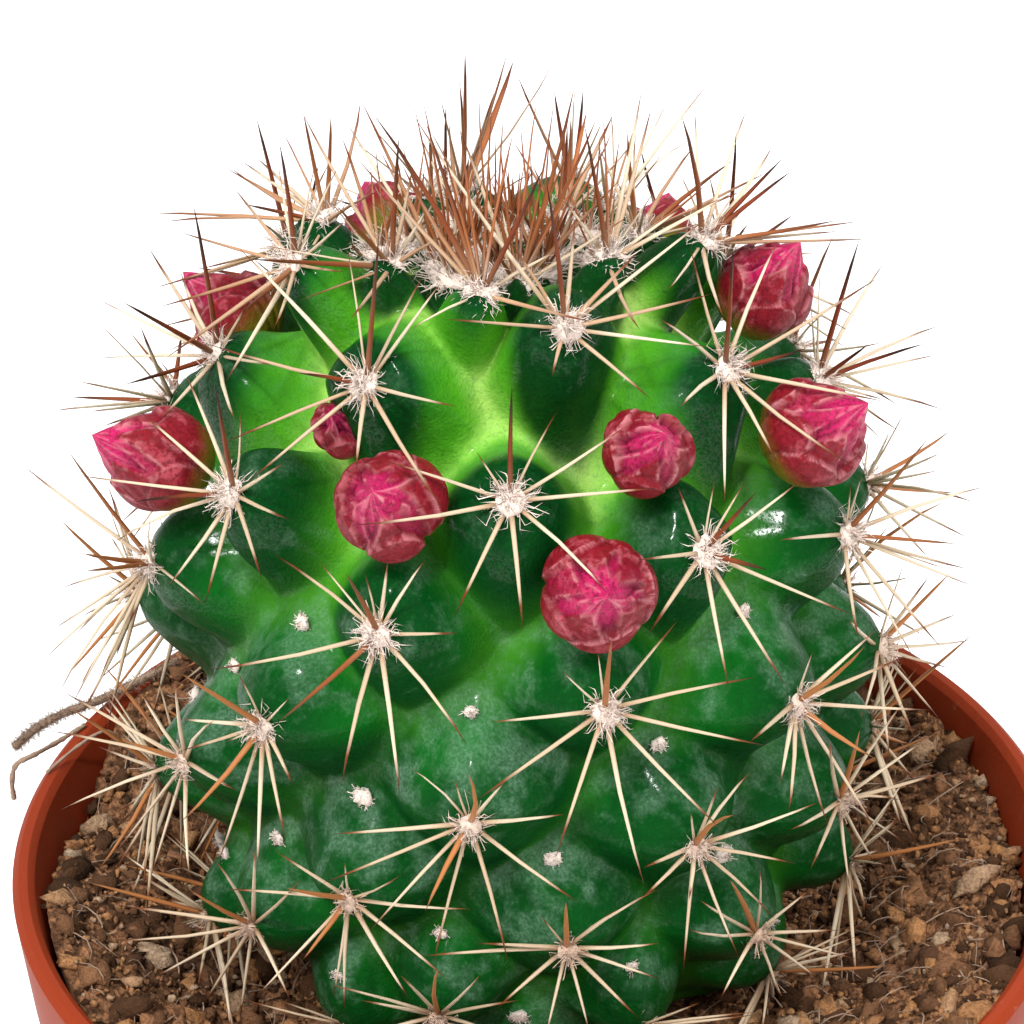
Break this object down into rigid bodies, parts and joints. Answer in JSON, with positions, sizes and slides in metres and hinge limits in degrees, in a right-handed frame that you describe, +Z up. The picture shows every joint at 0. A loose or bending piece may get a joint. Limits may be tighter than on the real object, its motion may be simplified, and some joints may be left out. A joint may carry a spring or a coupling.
{
  "type": "potted round cactus",
  "caption": "Round cactus with spiral rows of spiny tubercles and closed pink flower buds, growing in soil in a tapered plastic nursery pot.",
  "frame": {"origin": "middle of the pot's base, on the surface that the pot stands on", "axes": "+Z up along the pot's axis; the picture looks from the -Y side, along +Y and down"},
  "size_m": [0.085, 0.085, 0.1414],
  "materials": {
    "pot_plastic": "satin",
    "soil": "matte",
    "cactus_skin": "satin",
    "bud_petals": "satin",
    "spines": "satin",
    "wool": "matte"
  },
  "bodies": {
    "root": {"pot": "pot_plastic", "soil": "soil", "cactus_stem": "cactus_skin", "bud_01": "bud_petals", "bud_02": "bud_petals", "bud_03": "bud_petals", "bud_04": "bud_petals", "bud_05": "bud_petals", "bud_06": "bud_petals", "bud_07": "bud_petals", "bud_08": "bud_petals", "bud_09": "bud_petals", "bud_10": "bud_petals", "bud_11": "bud_petals", "bud_12": "bud_petals", "bud_13": "bud_petals"}
  },
  "joints": []
}
